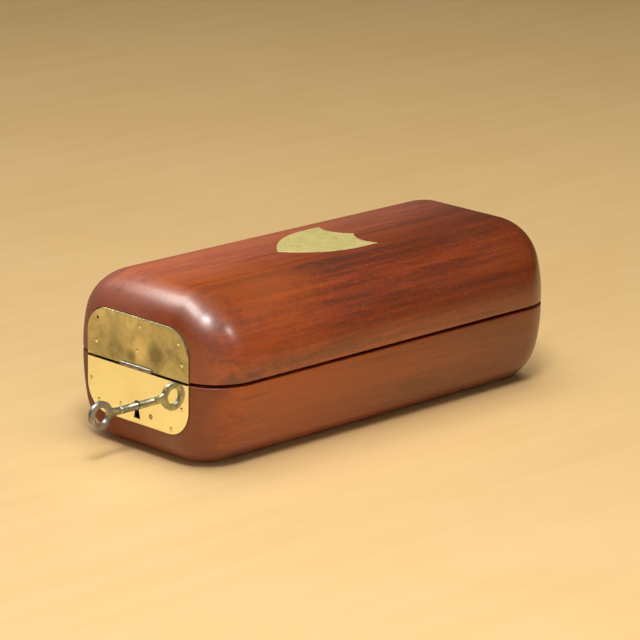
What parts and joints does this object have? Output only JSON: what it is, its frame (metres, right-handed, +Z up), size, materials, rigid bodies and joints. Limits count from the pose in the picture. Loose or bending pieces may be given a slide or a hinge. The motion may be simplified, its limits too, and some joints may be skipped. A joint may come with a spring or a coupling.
{
  "type": "marine chronometer",
  "caption": "Small gimballed chronometer in a long, carved mahogany case with rounded edges, brass end plates, a box lock with its key, and an inlaid brass shield.",
  "frame": {"origin": "centre of the case's flat underside", "axes": "-Y towards the lock end, +Y towards the hinges, +Z up, +X to the right seen from the lock"},
  "size_m": [0.13, 0.3307, 0.102],
  "materials": {
    "mahogany": "French polish",
    "velvet": "short pile",
    "polished_brass": "polished",
    "tarnished_brass": "tarnished",
    "worn_steel": "worn",
    "blued_steel": "blued",
    "silvered_dial": "silvered",
    "crystal_glass": "clear"
  },
  "bodies": {
    "case": {"lower_case": "mahogany", "lock_plate": "polished_brass", "lock_case": "polished_brass", "drill_pin": "worn_steel", "bolt_spring": "worn_steel", "case_lining": "velvet", "front_partition": "mahogany", "rear_partition": "mahogany", "front_tray": "velvet", "rear_tray": "velvet", "gimbal_bracket_left": "polished_brass", "gimbal_bracket_right": "polished_brass", "outer_pivot_left": "polished_brass", "outer_pivot_right": "polished_brass", "hinge_left_lower": "polished_brass", "hinge_right_lower": "polished_brass", "hinge_left_pin": "worn_steel", "hinge_right_pin": "worn_steel", "winding_key": "polished_brass", "gimbal_lock_screw": "polished_brass"},
    "lid": {"lid": "mahogany", "catch_plate": "tarnished_brass", "thumb_lip": "worn_steel", "catch_staple": "worn_steel", "shield": "tarnished_brass", "lid_lining": "velvet", "hinge_left_upper": "polished_brass", "hinge_right_upper": "polished_brass"},
    "lock_key": {"key": "worn_steel"},
    "lock_bolt": {"lock_bolt": "worn_steel"},
    "gimbal_ring": {"gimbal_ring": "polished_brass", "inner_pivot_front": "polished_brass", "inner_pivot_back": "polished_brass"},
    "chronometer": {"bowl": "polished_brass", "bezel": "polished_brass", "crystal": "crystal_glass", "dial": "silvered_dial", "pillar_plate": "polished_brass", "top_plate": "polished_brass", "pillar_1": "polished_brass", "pillar_2": "polished_brass", "pillar_3": "polished_brass", "balance_cock": "polished_brass", "balance_spring": "blued_steel", "detent": "worn_steel", "poise_weight": "polished_brass"},
    "seconds_train": {"fourth_wheel": "polished_brass", "seconds_hand": "blued_steel"},
    "centre_train": {"centre_wheel": "polished_brass", "minute_hand": "blued_steel"},
    "hour_hand": {"hour_hand": "blued_steel"},
    "third_wheel": {"third_wheel": "polished_brass"},
    "escape_wheel": {"escape_wheel": "polished_brass"},
    "great_wheel": {"great_wheel": "polished_brass"},
    "fusee": {"fusee": "polished_brass"},
    "barrel": {"barrel": "polished_brass"},
    "reserve_hand": {"reserve_hand": "blued_steel"},
    "balance": {"balance": "polished_brass"},
    "dust_shutter": {"dust_shutter": "polished_brass"},
    "gimbal_lock": {"gimbal_lock_arm": "polished_brass"}
  },
  "joints": [
    {"name": "lid_hinge", "type": "hinge", "parent": "case", "child": "lid", "pos_m": [0, 0.1473, 0.052], "axis": [-1, 0, 0], "range_deg": [0, 100]},
    {"name": "bolt_slide", "type": "slide", "parent": "case", "child": "lock_bolt", "axis": [-1, 0, 0], "range_m": [0, 0.0065]},
    {"name": "key_turn", "type": "hinge", "parent": "case", "child": "lock_key", "pos_m": [0, -0.145, 0.0298], "axis": [0, 1, 0], "range_deg": [0, 90]},
    {"name": "gimbal_outer", "type": "hinge", "parent": "case", "child": "gimbal_ring", "pos_m": [0, 0, 0.05], "axis": [1, 0, 0], "range_deg": [-35, 35]},
    {"name": "gimbal_inner", "type": "hinge", "parent": "gimbal_ring", "child": "chronometer", "pos_m": [0, 0, 0.05], "axis": [0, 1, 0], "range_deg": [-35, 35]},
    {"name": "seconds_turn", "type": "hinge", "parent": "chronometer", "child": "seconds_train", "pos_m": [0, -0.014, 0.05], "axis": [0, 0, -1], "continuous": true},
    {"name": "minute_turn", "type": "hinge", "parent": "chronometer", "child": "centre_train", "pos_m": [0, 0, 0.05], "axis": [0, 0, -1], "continuous": true},
    {"name": "hour_turn", "type": "hinge", "parent": "chronometer", "child": "hour_hand", "pos_m": [0, 0, 0.05], "axis": [0, 0, -1], "continuous": true},
    {"name": "third_wheel_turn", "type": "hinge", "parent": "chronometer", "child": "third_wheel", "pos_m": [-0.0053, -0.0079, 0.05], "axis": [0, 0, -1], "continuous": true},
    {"name": "escape_wheel_turn", "type": "hinge", "parent": "chronometer", "child": "escape_wheel", "pos_m": [0.0069, -0.0115, 0.05], "axis": [0, 0, -1], "continuous": true},
    {"name": "great_wheel_turn", "type": "hinge", "parent": "chronometer", "child": "great_wheel", "pos_m": [-0.0086, 0.0066, 0.05], "axis": [0, 0, -1], "continuous": true},
    {"name": "fusee_turn", "type": "hinge", "parent": "chronometer", "child": "fusee", "pos_m": [-0.0086, 0.0066, 0.05], "axis": [0, 0, 1], "range_deg": [0, 2520]},
    {"name": "barrel_turn", "type": "hinge", "parent": "chronometer", "child": "barrel", "pos_m": [0.0105, 0.0066, 0.05], "axis": [0, 0, 1], "range_deg": [0, 1764]},
    {"name": "reserve_turn", "type": "hinge", "parent": "chronometer", "child": "reserve_hand", "pos_m": [0, 0.014, 0.05], "axis": [0, 0, -1], "range_deg": [0, 240]},
    {"name": "balance_swing", "type": "hinge", "parent": "chronometer", "child": "balance", "pos_m": [0, 0, 0.034], "axis": [0, 0, -1], "range_deg": [-200, 200], "stiffness_Nm_per_rad": 0.0000092},
    {"name": "shutter_turn", "type": "hinge", "parent": "chronometer", "child": "dust_shutter", "pos_m": [0, 0, 0.0263], "axis": [0, 0, 1], "range_deg": [0, 60], "stiffness_Nm_per_rad": 0.002},
    {"name": "gimbal_lock_turn", "type": "hinge", "parent": "case", "child": "gimbal_lock", "pos_m": [0.033, 0.0495, 0.0483], "axis": [0, 0, 1], "range_deg": [0, 56]}
  ],
  "couplings": [
    {"joint": "key_turn", "follows": "bolt_slide", "rad_per_m": 241.66},
    {"joint": "minute_turn", "follows": "seconds_turn", "ratio": 0.016667},
    {"joint": "hour_turn", "follows": "seconds_turn", "ratio": 0.0013889},
    {"joint": "third_wheel_turn", "follows": "seconds_turn", "ratio": -0.13333},
    {"joint": "escape_wheel_turn", "follows": "seconds_turn", "ratio": -8},
    {"joint": "great_wheel_turn", "follows": "seconds_turn", "ratio": -0.0020833},
    {"joint": "barrel_turn", "follows": "fusee_turn", "ratio": 0.7},
    {"joint": "reserve_turn", "follows": "fusee_turn", "ratio": 0.095238}
  ]
}
